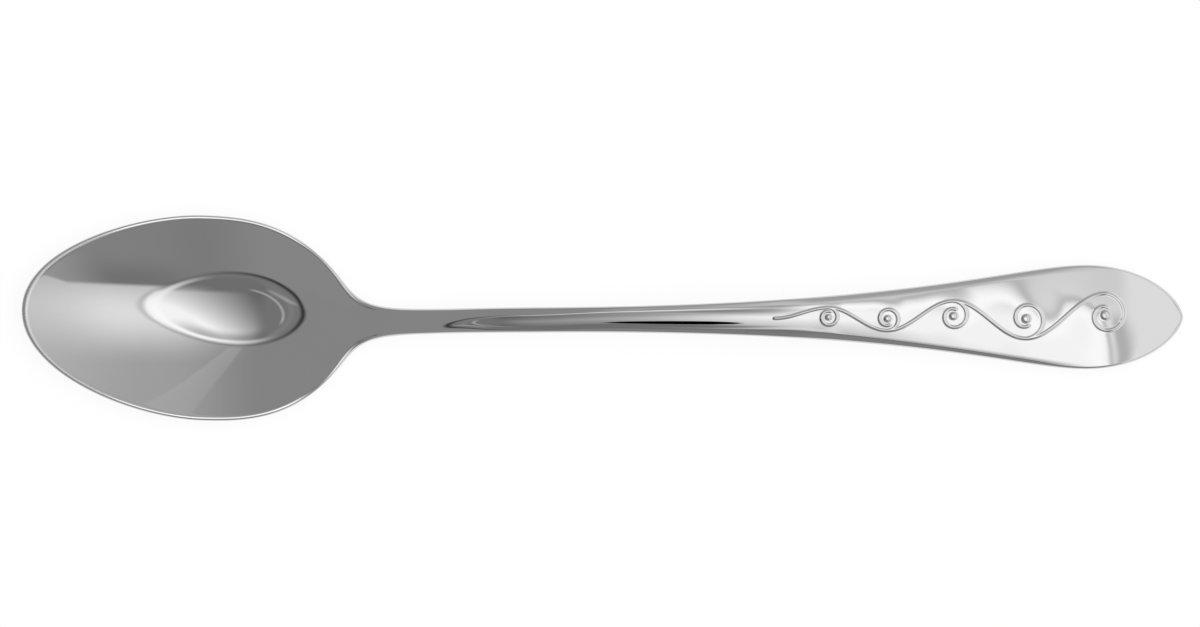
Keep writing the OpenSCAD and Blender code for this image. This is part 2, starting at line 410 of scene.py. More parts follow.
# %% Cords in the opening
BENT_CENTRE, BENT_RADIUS, BENT_HALF = (-5.5, -4.5), 19.1, 1.1
BENT_LEVEL, BENT_LEFT, BENT_NEAR = 0.3, (-0.2, -0.45), (0.5, 0.2)
STRAIGHT_AT, ACROSS_RIGHT, ACROSS_FAR = (-24.4, -17.4), 0.69, 0.72
STRAIGHT_LEVEL, STRAIGHT_HALF, STRAIGHT_ENDS = 0.2, 1.7, (10, 5)

bent_radius, bent_right, bent_far = polar(BENT_CENTRE)
bent = times(band(bent_radius, BENT_RADIUS, BENT_HALF), rising(bent_right, BENT_LEFT))
inside = plus_share(inside, times(bent, rising(bent_far, BENT_NEAR)), BENT_LEVEL)

from_right = less(right, STRAIGHT_AT[0])
from_far = less(far, STRAIGHT_AT[1])
across_cord = plus(times(from_right, ACROSS_RIGHT), times(from_far, ACROSS_FAR))
along_cord = plus(times(from_right, ACROSS_FAR), times(from_far, -ACROSS_RIGHT))
straight = times(band(across_cord, 0.0, STRAIGHT_HALF), rising(size_of(along_cord), STRAIGHT_ENDS))
inside = plus_share(inside, straight, STRAIGHT_LEVEL)
print("sky nodes with the cords", len(sky.nodes))

# %% [markdown]
# A dark gasket runs round the opening, blackest on the left. On its other side it is only a grey seam.

# %% Opening, gasket and walls together
OPENING_RADIUS, EDGE_SOFTNESS = 27.2, 0.6
GASKET_RADIUS, GASKET_HALF = 27.6, 1.6
GASKET_DARK, GASKET_LEAN, GASKET_WAY = 0.15, 0.35, (-0.35, 1.0)
SEAM_DARK, SEAM_HALF, SEAM_WAY = 0.75, 1.3, (-1.0, -0.2)

through = rising(radius, (OPENING_RADIUS + EDGE_SOFTNESS, OPENING_RADIUS - EDGE_SOFTNESS))
mirrored = fade(wall, inside, through)
to_left = times(to_right, -1.0)
dark_way = rising(plus_share(to_left, to_far, -GASKET_LEAN), GASKET_WAY)
gasket = times(band(radius, GASKET_RADIUS, GASKET_HALF), dark_way)
mirrored = times(mirrored, fade(1.0, GASKET_DARK, gasket))
other_way = times(less(1.0, dark_way), rising(to_far, SEAM_WAY))
seam = times(band(radius, GASKET_RADIUS, SEAM_HALF), other_way)
mirrored = times(mirrored, fade(1.0, SEAM_DARK, seam))
print("sky nodes with the gasket", len(sky.nodes))

# %% [markdown]
# The camera sees plain white behind the table. Every other ray, from the mirror of the steel or from the matt
# table, sees the tent.

# %% Sky for each kind of ray
for_camera = sky.nodes.new("ShaderNodeLightPath").outputs["Is Camera Ray"]
background = sky.nodes.new("ShaderNodeBackground")
background.inputs["Color"].default_value = grey_colour(PLAIN_WHITE)
join(sky, fade(mirrored, PLAIN_WHITE, for_camera), background.inputs["Strength"])
world_out = sky.nodes.new("ShaderNodeOutputWorld")
sky.links.new(background.outputs["Background"], world_out.inputs["Surface"])
print("sky nodes in all", len(sky.nodes))

# %% [markdown]
# ## Cards and a net
# Photographers fine-tune shiny things with cards and nets. Three hang here, and only the mirror of the steel
# sees them. Each is a flat sheet whose strength fades by its own coordinates, which go from -1 to 1.

# %% Card helpers
def hang(name, at, half):
    """A flat card with an empty material. Returns the material's node tree and the card's own X and Y."""
    bpy.ops.object.select_all(action="DESELECT")
    bpy.ops.mesh.primitive_plane_add(size=2, location=at)
    card = bpy.context.object
    card.name = name
    card.scale = (*half, 1)
    for kind in ("camera", "diffuse", "shadow", "transmission", "volume_scatter"):
        setattr(card, "visible_" + kind, False)
    material, tree = empty_material(name)
    card.data.materials.append(material)
    own = tree.nodes.new("ShaderNodeSeparateXYZ")
    tree.links.new(tree.nodes.new("ShaderNodeTexCoord").outputs["Object"], own.inputs["Vector"])
    print(name, "hangs at", at)
    return tree, own.outputs["X"], own.outputs["Y"]


def weave(tree, passing, glow_strength=0.0, glow_share=0.0):
    """Lets a share of the light through, and mixes in a glow."""
    clear = tree.nodes.new("ShaderNodeBsdfTransparent")
    join(tree, passing, clear.inputs["Color"])
    show_mix(tree, glow_share, clear.outputs["BSDF"], white_glow(tree, glow_strength))


# %% [markdown]
# A small black card close over the stem gives its bright side a dark neighbour, as one long streak. A grey
# net beside it holds back the light that falls on the stem from the far side. A large white card beyond the
# handle fills its rounded tip with light, and a dark border on its near half gives that light a soft edge.

# %% Black card
BLACK_AT, BLACK_HALF = (0.0138, -0.0133, 0.053), (0.0178, 0.0038)
BLACK_FADES = (0.85, 1.0)

tree, x, y = hang("black_card", BLACK_AT, BLACK_HALF)
weave(tree, step(tree, distance_to(tree, x, y), BLACK_FADES))

# %% Grey net
NET_AT, NET_HALF = (0.007, 0.007, 0.055), (0.041, 0.013)
NET_HOLDS = 0.55
NET_NEAR_FADES, NET_FAR_FADES, NET_END_FADES = (-1, -0.08), (0.6, 0.1), (1, 0.7)

tree, x, y = hang("grey_net", NET_AT, NET_HALF)
across_net = reckon(tree, "MULTIPLY", step(tree, y, NET_NEAR_FADES), step(tree, y, NET_FAR_FADES))
along_net = step(tree, reckon(tree, "ABSOLUTE", x), NET_END_FADES)
held = reckon(tree, "MULTIPLY", reckon(tree, "MULTIPLY", across_net, along_net), NET_HOLDS)
weave(tree, reckon(tree, "SUBTRACT", 1.0, held))

# %% White card
WHITE_AT, WHITE_HALF = (0.415, 0.05, 0.4), (0.165, 0.25)
WHITE_GLOW, WHITE_STARTS = 1.12, (-0.85, -0.6)
BORDER_HOLDS, BORDER_STARTS, BORDER_FADES = 0.4, (-1, -0.88), (0.05, -0.2)

tree, x, y = hang("white_card", WHITE_AT, WHITE_HALF)
border = reckon(tree, "MULTIPLY", step(tree, x, BORDER_STARTS), step(tree, y, BORDER_FADES))
passing = reckon(tree, "SUBTRACT", 1.0, reckon(tree, "MULTIPLY", border, BORDER_HOLDS))
weave(tree, passing, WHITE_GLOW, step(tree, x, WHITE_STARTS))

# %% [markdown]
# ## Polished stainless steel
# Polished stainless steel is a neutral grey mirror. It isn't perfect: buffing leaves hairlines along the
# spoon, and use leaves cloudy patches that blur the mirror a little. Both are roughness here, because that is
# how the eye sees them. The hairlines also tilt the surface by a trace, as a bump.
#
# Along the top of the bowl's rim the steel's colour is raised to near white. This is a painted highlight that
# stands for a bright line of light along the rim. The bowl carries that as a value at each point, which runs
# out towards its tip and its heel. At the tip, use has worn the rim's polish off, and a second value makes it
# rougher there.

# %% Steel helpers
def noise(tree, place, per_metre, detail):
    """Value of a noise texture with about so many spots to the metre."""
    node = tree.nodes.new("ShaderNodeTexNoise")
    node.inputs["Scale"].default_value = per_metre
    node.inputs["Detail"].default_value = detail
    tree.links.new(place, node.inputs["Vector"])
    return node.outputs["Fac"]


def blend(tree, share, first, second):
    """The first colour where share is 0 and the second where it is 1."""
    node = tree.nodes.new("ShaderNodeMix")
    node.data_type = "RGBA"
    join(tree, share, node.inputs["Factor"])
    join(tree, first, node.inputs["A"])
    join(tree, second, node.inputs["B"])
    return node.outputs["Result"]


def mark_of(tree, name):
    """A value that a piece carries at each point. It is 0 on a piece that has no such value."""
    node = tree.nodes.new("ShaderNodeAttribute")
    node.attribute_name = name
    return node.outputs["Fac"]


# %% Steel material
# The highlight grey is the near-white colour of the painted highlight on the rim.
STEEL_GREY, GREY_SPREAD, HIGHLIGHT_GREY = 0.63, 0.012, 0.97
MIRROR_ROUGHNESS, CLOUDED_ROUGHNESS, WORN_ROUGHNESS = 0.012, 0.035, 0.3
CLOUDS_PER_METRE, CLOUD_DETAIL, CLOUD_SPAN = 90, 3, (0.35, 0.75)
HAIRLINES_PER_METRE, HAIRLINE_DETAIL, HAIRLINE_SPAN = 9000, 2, (0.3, 0.7)
HAIRLINE_STRETCH = 0.02
BUMP_STRENGTH, BUMP_DEPTH = 0.02, 0.00002


def polished_steel():
    """A neutral mirror with hairlines along the spoon, faint cloudy patches, and a painted highlight where a
    piece carries one.
    """
    material = bpy.data.materials.new("polished_steel")
    material.use_nodes = True
    tree = material.node_tree
    shader = tree.nodes["Principled BSDF"]
    shader.inputs["Metallic"].default_value = 1.0

    place = tree.nodes.new("ShaderNodeTexCoord").outputs["Object"]
    clouds = noise(tree, place, CLOUDS_PER_METRE, CLOUD_DETAIL)
    stretch = tree.nodes.new("ShaderNodeMapping")
    stretch.inputs["Scale"].default_value = (HAIRLINE_STRETCH, 1, 1)
    tree.links.new(place, stretch.inputs["Vector"])
    lines = noise(tree, stretch.outputs["Vector"], HAIRLINES_PER_METRE, HAIRLINE_DETAIL)

    darker, lighter = grey_colour(STEEL_GREY - GREY_SPREAD), grey_colour(STEEL_GREY + GREY_SPREAD)
    plain = blend(tree, clouds, darker, lighter)
    # Where a piece carries the painted highlight, the steel's colour is raised to near white, which paints a
    # bright line along the rim.
    colour = blend(tree, mark_of(tree, "painted_rim_highlight"), plain, grey_colour(HIGHLIGHT_GREY))
    join(tree, colour, shader.inputs["Base Color"])

    clouded = reckon(tree, "MULTIPLY", step(tree, clouds, CLOUD_SPAN), step(tree, lines, HAIRLINE_SPAN))
    rough = reckon(tree, "MULTIPLY_ADD", clouded, CLOUDED_ROUGHNESS - MIRROR_ROUGHNESS, MIRROR_ROUGHNESS)
    rough = reckon(tree, "MULTIPLY_ADD", mark_of(tree, "worn"), WORN_ROUGHNESS, rough)
    join(tree, rough, shader.inputs["Roughness"])

    bump = tree.nodes.new("ShaderNodeBump")
    bump.inputs["Strength"].default_value = BUMP_STRENGTH
    bump.inputs["Distance"].default_value = BUMP_DEPTH
    join(tree, lines, bump.inputs["Height"])
    tree.links.new(bump.outputs["Normal"], shader.inputs["Normal"])
    return material


steel = polished_steel()
print("steel nodes", len(steel.node_tree.nodes))

# %% [markdown]
# ## The outline of the blank
# Seen from above, the spoon is one smooth outline: the bowl's oval, a waist at the neck, the slim stem and
# the leaf of the handle's end. Five Bezier curves draw one side of it, each given by two end points and two
# handle points, as the curve tool does. A reach is how far a curve holds its direction away from an end
# point. From here on a place is the distance from the bowl's tip, and the workshop's millimetres are used
# until the last step. The length comes from the frame.

# %% Sizes of the outline
MILLIMETRE = 0.001
tip_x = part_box("bowl")[0].x
spoon_length = (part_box("handle_end")[1].x - tip_x) / MILLIMETRE

BOWL_WIDEST_AT, BOWL_HALF = 28.6, 16.25
HEEL_AT, HEEL_HALF, HEEL_SLOPE = 50.6, 6.65, -1.3
STEM_NARROWEST_AT, STEM_HALF = 83.0, 2.0
END_NOSE, END_HALF = 15.6, 8.25
end_widest_at = spoon_length - END_NOSE

TIP_REACH, WIDEST_REACH_TIP = 10.2, 10.4
WIDEST_REACH_HEEL, HEEL_REACH_BOWL = 6.5, 7.1
HEEL_REACH_NECK, STEM_REACH_NECK = 4.2, 26.6
STEM_REACH_END, END_REACH_STEM = 59, 11.5
END_REACH_NOSE, NOSE_REACH = 10.3, 2.45
print("length", round(spoon_length, 2), "mm")

# %% Outline curves
def curve_from(start, start_reach, end, end_reach, start_slope=0.0, end_slope=0.0):
    """Control points of a curve that leaves start and meets end along the given slopes."""
    first, last = np.array(start), np.array(end)
    return [first, first + start_reach * np.array([1, start_slope]),
            last - end_reach * np.array([1, end_slope]), last]


widest, heel = (BOWL_WIDEST_AT, BOWL_HALF), (HEEL_AT, HEEL_HALF)
narrowest, broadest = (STEM_NARROWEST_AT, STEM_HALF), (end_widest_at, END_HALF)
tip_curve = ((0, 0), (0, TIP_REACH), (BOWL_WIDEST_AT - WIDEST_REACH_TIP, BOWL_HALF), widest)
nose_curve = (broadest, (end_widest_at + END_REACH_NOSE, END_HALF),
              (spoon_length, NOSE_REACH), (spoon_length, 0))
OUTLINE = [
    [np.array(point) for point in tip_curve],
    curve_from(widest, WIDEST_REACH_HEEL, heel, HEEL_REACH_BOWL, end_slope=HEEL_SLOPE),
    curve_from(heel, HEEL_REACH_NECK, narrowest, STEM_REACH_NECK, start_slope=HEEL_SLOPE),
    curve_from(narrowest, STEM_REACH_END, broadest, END_REACH_STEM),
    [np.array(point) for point in nose_curve],
]


def trace(curves, steps=4000):
    """Places, half widths, and half widths times their rate of change, along all the curves."""
    t = np.linspace(0, 1, steps + 1)[1:-1, None]
    u = 1 - t
    rows = []
    for a, b, c, d in curves:
        point = u**3 * a + 3 * u * u * t * b + 3 * u * t * t * c + t**3 * d
        heading = 3 * u * u * (b - a) + 6 * u * t * (c - b) + 3 * t * t * (d - c)
        rows.append(np.column_stack([point, point[:, 1] * heading[:, 1] / heading[:, 0]]))
    return np.concatenate(rows).T


outline_place, outline_half, outline_rate = trace(OUTLINE)


def half_width(place):
    return np.interp(place, outline_place, outline_half)


print("widest", round(2 * outline_half.max(), 2), "mm")

# %% [markdown]
# ## The side profile
# Seen from the side, the top face dips into the bowl, climbs the heel, arches over the stem and comes down to
# the table at the handle's tip. Polished steel shows every kink, so the profile is joined from pieces that
# share height, slope and curvature where they meet. The plan is treated in the same way, because a pressed
# spoon is never quite straight: this one's bowl leans aside by a millimetre.

# %% Profile and plan
BOWL_WALL, STEM_THICKNESS, END_THICKNESS = 1.4, 2.7, 2.0
BOWL_DEEPEST_AT, TIP_RISE = 32.6, 7.23
FORE_AT, FORE_RISE = 17, 2.165
HEEL_BEFORE, HEEL_RISE = 4.6, 2.04
HEEL_AFTER, HEEL_HEIGHT = 4.4, 6.37
NECK_AT, NECK_AFTER, NECK_HEIGHT = 66.4, 1.4, 10.51
SHOULDER_BEFORE, SHOULDER_DROP = 3, 0.873
ARCH_AT, ARCH_HEIGHT = 100.0, 13.46
FALL_AFTER, FALL_DROP = 24, 1.88
NOSE_BEFORE, NOSE_DROP = 14, 8.225
TIP_OFFSET, HEEL_OFFSET, STEM_OFFSET = 1, -0.8, -0.45

# Each knot is a place, the height of the top face there, its slope and its curvature. The bowl's floor and
# the handle's tip touch the table, so their top faces are one thickness of steel high.
PROFILE = [
    (0, BOWL_WALL + TIP_RISE, -0.34, 0.004),
    (FORE_AT, BOWL_WALL + FORE_RISE, -0.246, 0.0075),
    (BOWL_DEEPEST_AT, BOWL_WALL, 0, 0.0188),
    (HEEL_AT - HEEL_BEFORE, BOWL_WALL + HEEL_RISE, 0.299, 0.0165),
    (HEEL_AT + HEEL_AFTER, HEEL_HEIGHT, 0.328, 0),
    (NECK_AT + NECK_AFTER, NECK_HEIGHT, 0.283, -0.0165),
    (STEM_NARROWEST_AT - SHOULDER_BEFORE, ARCH_HEIGHT - SHOULDER_DROP, 0.083, -0.004),
    (ARCH_AT, ARCH_HEIGHT, -0.003, -0.0062),
    (ARCH_AT + FALL_AFTER, ARCH_HEIGHT - FALL_DROP, -0.133, -0.001),
    (spoon_length - NOSE_BEFORE, ARCH_HEIGHT - NOSE_DROP, -0.162, -0.0035),
    (spoon_length, END_THICKNESS, -0.323, -0.012),
]
# Here it is a place, the sideways offset of the centreline, its slope and its curvature.
PLAN = [
    (0, TIP_OFFSET, -0.053, 0),
    (HEEL_AT, HEEL_OFFSET, -0.013, 0.0044),
    (STEM_NARROWEST_AT, STEM_OFFSET, 0.006, 0),
    (spoon_length, 0, 0, 0),
]
print("profile knots", len(PROFILE), "plan knots", len(PLAN))

# %% Curves through the knots
def between(a, b, place):
    """Smooth value between two knots of place, value, slope and curvature."""
    h = b[0] - a[0]
    t = (place - a[0]) / h
    leave = 10 * t**3 - 15 * t**4 + 6 * t**5
    return (a[1] * (1 - leave) + b[1] * leave
            + a[2] * h * (t - 6 * t**3 + 8 * t**4 - 3 * t**5)
            + b[2] * h * (-4 * t**3 + 7 * t**4 - 3 * t**5)
            + a[3] * h * h * (t**2 - 3 * t**3 + 3 * t**4 - t**5) / 2
            + b[3] * h * h * (t**3 - 2 * t**4 + t**5) / 2)


def along(knots, place):
    """Value along a chain of knots."""
    value = between(knots[0], knots[1], place)
    for a, b in zip(knots[1:], knots[2:]):
        value = np.where(place > a[0], between(a, b, place), value)
    return value


def slope_along(knots, place, reach=0.01):
    return (along(knots, place + reach) - along(knots, place - reach)) / (2 * reach)


print("top of the arch", float(along(PROFILE, np.array(ARCH_AT))), "mm")

# %% [markdown]
# ## The section across the steel
# Cut across, the bowl is a thin curved wall, the stem a thicker bar with a crowned top, and the end a thin
# crowned leaf. The whole section also leans a little to one side, and the lean changes along the handle. Each
# property eases from one value to the next over a span of places.

# %% Section rules
BOWL_DEPTH, HEEL_CURVATURE = 5.7, 0.042
BOWL_CURVATURE = BOWL_DEPTH / BOWL_HALF**2
HOLLOW_TIGHTENS, HOLLOW_ENDS = (HEEL_AT - 7.6, HEEL_AT + 4.4), (HEEL_AT, NECK_AT - 4.4)
STEM_CROWN, END_CROWN = 0.4, 0.3
CROWN_STARTS, CROWN_FALLS = (NECK_AT - 11.4, NECK_AT + 4.6), (ARCH_AT + 18, ARCH_AT + 58)
WALL_GROWS, END_THINS = (HEEL_AT - 6, NECK_AT), (ARCH_AT, end_widest_at - 3)
HEEL_TWIST, HEEL_TWISTS = -0.055, (HEEL_AT + 3.4, HEEL_AT + 13.4)
NECK_TWIST, NECK_TWISTS = -0.018, (NECK_AT - 1.4, NECK_AT + 5.6)
STEM_TWIST, STEM_TWISTS = 0.064, (STEM_NARROWEST_AT - 7, STEM_NARROWEST_AT + 14)
END_LEVELS = (ARCH_AT + 21, ARCH_AT + 49)
END_TWIST, END_TWISTS = -0.046, (end_widest_at - 19.4, end_widest_at + 13.6)


def ease(span, place):
    """Smooth step over a span, with no kink in slope or curvature."""
    t = np.clip((place - span[0]) / (span[1] - span[0]), 0, 1)
    return t**3 * (t * (6 * t - 15) + 10)


def hollow(place):
    tighter = BOWL_CURVATURE + (HEEL_CURVATURE - BOWL_CURVATURE) * ease(HOLLOW_TIGHTENS, place)
    return tighter * (1 - ease(HOLLOW_ENDS, place))


def crown(place):
    return STEM_CROWN * ease(CROWN_STARTS, place) + (END_CROWN - STEM_CROWN) * ease(CROWN_FALLS, place)


def twist(place):
    """Sideways slope of the whole section."""
    return (HEEL_TWIST * ease(HEEL_TWISTS, place)
            + (NECK_TWIST - HEEL_TWIST) * ease(NECK_TWISTS, place)
            + (STEM_TWIST - NECK_TWIST) * ease(STEM_TWISTS, place)
            - STEM_TWIST * ease(END_LEVELS, place)
            + END_TWIST * ease(END_TWISTS, place))


def thickness(place):
    return (BOWL_WALL + (STEM_THICKNESS - BOWL_WALL) * ease(WALL_GROWS, place)
            + (END_THICKNESS - STEM_THICKNESS) * ease(END_THINS, place))


print("thickness at the arch", float(thickness(np.array(ARCH_AT))), "mm")

# %% [markdown]
# The bowl's rim is half round. Along the handle the edge has a square side, whose corners are rounded by less
# than half a millimetre. With that, the skin of the spoon is known at every place and at every share of the
# half width.

# %% Skin of the spoon
RIM_RADIUS, EDGE_RADIUS = 1.0, 0.4
RIM_ENDS = (HEEL_AT, NECK_AT)
NEARLY_NOTHING = 1e-9


def rounding(place):
    return RIM_RADIUS + (EDGE_RADIUS - RIM_RADIUS) * ease(RIM_ENDS, place)


def edge_inset(place, aside):
    """Distance in from the outline as a share of the edge's radius, from 0 to 1."""
    half, rate = half_width(place), np.interp(place, outline_place, outline_rate)
    reach = np.maximum(2 * np.hypot(rate, aside), NEARLY_NOTHING)
    return np.clip((half**2 - aside**2) / reach / rounding(place), 0, 1)


def skin(place, share, side):
    """Points on the top (side 1), the underside (side -1) or the edge (side 0), in millimetres."""
    aside = share * half_width(place)
    bend = hollow(place)
    drop = crown(place) * share**2
    lean = twist(place)
    fall = 2 * bend * aside + lean
    top = along(PROFILE, place) + bend * aside**2 + lean * aside - drop
    deep = thickness(place) * np.sqrt(1 + slope_along(PROFILE, place) ** 2 + fall**2) - drop
    round_off = 1 - np.sqrt(1 - (1 - edge_inset(place, aside)) ** 2)
    corner_drop = np.minimum(rounding(place), deep / 2) * round_off
    height = top - deep / 2 + side * (deep / 2 - corner_drop)
    return np.column_stack([place, along(PLAN, place) + aside, height])


rim_point = skin(np.array([BOWL_WIDEST_AT]), np.array([1]), np.array([0]))[0]
print("rim at the widest place", rim_point.round(2), "mm")

# %% [markdown]
# ## A bar to press
# Each length of the spoon starts as a round bar that lies along the X axis. In edit mode, the subdivide
# operator cuts its round side into columns and its long edges into rows. The columns crowd towards the edges,
# because they come from a circle, and that is where the rounded rim needs them. The wide ones in the middle
# are cut again.

# %% Bar helpers
SAME_PLACE = 1e-6
SKIN_FROM = 0.5


def select_edges(wanted):
    """Selects the edges of the mesh in edit mode whose two ends pass a test."""
    bpy.ops.mesh.select_mode(type="EDGE")
    bpy.ops.mesh.select_all(action="DESELECT")
    mesh = bmesh.from_edit_mesh(bpy.context.object.data)
    for edge in mesh.edges:
        if wanted(edge.verts[0].co, edge.verts[1].co):
            edge.select_set(True)
    bmesh.update_edit_mesh(bpy.context.object.data)


def is_long(a, b):
    return abs(a.x - b.x) > SAME_PLACE


def is_across(a, b):
    """True for an edge across the round side, and not for one along the bar or to the middle of its end."""
    return min(a.yz.length, b.yz.length) > SKIN_FROM and not is_long(a, b)


def cut_columns(finest, both_sides):
    """Cuts each column of the round side that is wider than finest, on top or on both sides."""
    def pieces_of(a, b):
        return math.ceil(abs(a.y - b.y) / finest)

    mesh = bmesh.from_edit_mesh(bpy.context.object.data)
    ends = [[corner.co for corner in edge.verts] for edge in mesh.edges]
    numbers = sorted({pieces_of(a, b) for a, b in ends if is_across(a, b)})
    for number in numbers:
        if number < 2:
            continue

        def in_column(a, b):
            upward = both_sides or a.z + b.z > 0
            return is_across(a, b) and upward and pieces_of(a, b) == number

        select_edges(in_column)
        bpy.ops.mesh.subdivide(number_cuts=number - 1)


def new_bar(name, sides, finest, cuts, both_sides=False):
    """A round bar of unit length and radius along X, cut into columns and rows."""
    bpy.ops.object.select_all(action="DESELECT")
    bpy.ops.mesh.primitive_cylinder_add(vertices=sides, radius=1, depth=1, end_fill_type="TRIFAN",
                                        location=(0, 0, 0), rotation=(0, math.radians(90), 0))
    bar = bpy.context.object
    bar.name = bar.data.name = name
    bpy.ops.object.transform_apply(location=True, rotation=True, scale=True)
    bpy.ops.object.mode_set(mode="EDIT")
    cut_columns(finest, both_sides)
    for number in cuts:
        select_edges(is_long)
        bpy.ops.mesh.subdivide(number_cuts=number)
    bpy.ops.object.mode_set(mode="OBJECT")
    print(name, "starts as a bar of", len(bar.data.vertices), "points")
    return bar


# %% [markdown]
# ## The press
# Pressing moves every point of a bar to its place on the spoon: along the bar gives the place, across gives
# the share of the half width, and the sign of the height tells top from underside. At a tip the rows crowd
# together, as the outline closes like a circle there. The finished piece sits at the origin with its place in
# its mesh.

# %% Rows along a bar
ROW_SAMPLES = 2001
TIP_ZONE = 3.0
FIRST_RING = 0.002


def rows_between(start, end, tip=None):
    """Maps 0 to 1 along a bar to places. Near a tip the rows crowd by a square law."""
    share = np.linspace(0, 1, ROW_SAMPLES)
    span = end - start
    if tip is None:
        return lambda u: start + span * u
    # The square law meets the even rows with the same spacing.
    zone = TIP_ZONE / (span + TIP_ZONE)
    run = np.where(share < 2 * zone, TIP_ZONE * (share / (2 * zone)) ** 2,
                   TIP_ZONE + (share - 2 * zone) / (1 - 2 * zone) * (span - TIP_ZONE))
    run = np.maximum(run, FIRST_RING)
    if tip == "start":
        return lambda u: start + np.interp(u, share, run)
    return lambda u: end - np.interp(1 - u, share, run)


def node_span(node):
    """First and last place of a node of the frame, in millimetres from the bowl's tip."""
    low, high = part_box(node)
    return (low.x - tip_x) / MILLIMETRE, (high.x - tip_x) / MILLIMETRE


for node in ("bowl", "neck", "stem", "handle_end"):
    print(node, "goes from and to", [round(place, 2) for place in node_span(node)], "mm")

# %% Press helpers
HEIGHT_TOLERANCE = 1e-4
HALF_BAR = 0.5
MIDDLE_RADIUS = 0.01
TIP_NEARNESS = 1.0
SMOOTHED_UP_TO = math.radians(50)


def points_of(bar):
    """Along the bar from 0 to 1, across it and up, for each of its points."""
    points = np.empty(len(bar.data.vertices) * 3)
    bar.data.vertices.foreach_get("co", points)
    lengthways, across, height = points.reshape(-1, 3).T
    return lengthways + HALF_BAR, across, height


def press(bar, place_of, tip_place=None, relief=None):
    """Moves every point of a bar to the spoon's skin, smooths its shading and makes it of steel."""
    along_bar, share, height = points_of(bar)
    side = np.where(np.abs(height) < HEIGHT_TOLERANCE, 0, np.sign(height))
    place = place_of(along_bar)
    if tip_place is not None:
        middle = np.hypot(share, height) < MIDDLE_RADIUS
        at_tip = middle & (np.abs(place - tip_place) < TIP_NEARNESS)
        place = np.where(at_tip, tip_place, place)
    pressed = skin(place, share, side)
    if relief is not None:
        raised = relief(place, share * half_width(place))
        pressed[:, 2] += np.where(side > 0, raised, 0)
    pressed[:, 0] += tip_x / MILLIMETRE
    bar.data.vertices.foreach_set("co", (pressed * MILLIMETRE).ravel())
    bar.data.update()
    bpy.ops.object.select_all(action="DESELECT")
    bar.select_set(True)
    bpy.context.view_layer.objects.active = bar
    bpy.ops.object.shade_smooth_by_angle(angle=SMOOTHED_UP_TO)
    bar.data.materials.append(steel)


def hand_over(piece, node):
    """Rides the piece on the root body, hides the node of the frame that it stands for, and prints its
    triangles.
    """
    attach(piece, "root")
    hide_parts(node)
    print(piece.name, "triangles", sum(len(p.vertices) - 2 for p in piece.data.polygons))


# %% [markdown]
# ## The bowl
# The bowl is the thin, deep-drawn part. Its mirror shows the opening of the tent as a drop, so its rows and
# columns are fine on both sides. Before the bowl is pressed, the top of its rim is marked for a painted
# highlight, and at the tip for wear. The marks follow the share of the edge's rounding, and the highlight has
# a start and an end along the bowl.

# %% Marks on the rim
# Spans of the painted rim highlight, across the rounding and along the bowl, and of the wear at the tip.
HIGHLIGHT_ACROSS_STARTS, HIGHLIGHT_ACROSS_ENDS = (0.2, 0.28), (0.44, 0.54)
WORN_STARTS, WORN_ENDS = (0.05, 0.2), (0.75, 1.0)
WEAR_ENDS_HIGHLIGHT_STARTS, HIGHLIGHT_ALONG_ENDS = (10.0, 20.0), (40.0, 47.0)


def mark_rim(bar, place_of):
    """Marks the top of the rim, where the edge's rounding turns over, with a painted highlight or as worn."""
    along_bar, share, height = points_of(bar)
    place = place_of(along_bar)
    inset = edge_inset(place, share * half_width(place))
    past_worn_tip = ease(WEAR_ENDS_HIGHLIGHT_STARTS, place)
    marks = {
        # The first mark paints a highlight on the rim's top. The second only makes the tip's rim rougher.
        "painted_rim_highlight": (HIGHLIGHT_ACROSS_STARTS, HIGHLIGHT_ACROSS_ENDS, past_worn_tip * (1 - ease(HIGHLIGHT_ALONG_ENDS, place))),
        "worn": (WORN_STARTS, WORN_ENDS, 1 - past_worn_tip),
    }
    for name, (starts, ends, lengthways) in marks.items():
        crossways_share = ease(starts, inset) * (1 - ease(ends, inset)) * (height > 0)
        values = bar.data.attributes.new(name, "FLOAT", "POINT").data
        values.foreach_set("value", crossways_share * lengthways)
        print("points marked as", name, np.count_nonzero(crossways_share * lengthways))


# %% Bowl
bowl_from, bowl_to = node_span("bowl")
bowl = new_bar("polished_bowl", sides=192, finest=0.034, cuts=(13, 13), both_sides=True)
bowl_rows = rows_between(bowl_from, bowl_to, tip="start")
mark_rim(bowl, bowl_rows)
press(bowl, bowl_rows, tip_place=bowl_from)
hand_over(bowl, "bowl")

# %% [markdown]
# ## The neck and the stem
# The neck gathers the bowl's hollow into a solid bar, and the stem carries it over the top of the arch.

# %% Neck and stem
for node in ("neck", "stem"):
    bar = new_bar("polished_" + node, sides=96, finest=0.04, cuts=(9, 9))
    press(bar, rows_between(*node_span(node)))
    hand_over(bar, node)

# %% [markdown]
# ## The running scroll on the handle
# The die raises an ornament on the handle's end, less than a fifth of a millimetre above its ground. This
# one is a plain running scroll, an old border pattern: one line swings from side to side, a curl leaves it at
# each swing and winds in, and a flat pearl sits in the middle of each curl. The swings and curls grow with
# the width of the handle, and the pearls grow with them. The relief is a height over the top face, so it is
# real geometry and not only a bump.

# %% Sizes of the scroll
CURLS = 5
SCROLL_FROM = 119.0
FIRST_SWING, LAST_SWING = 127.5, 171.5
SWING_SPREAD = 0.2
SWING_SHARE, CURL_SHARE = 0.46, 0.92
SMALLEST_PEARL, PEARL_GROWTH = 0.52, 0.3

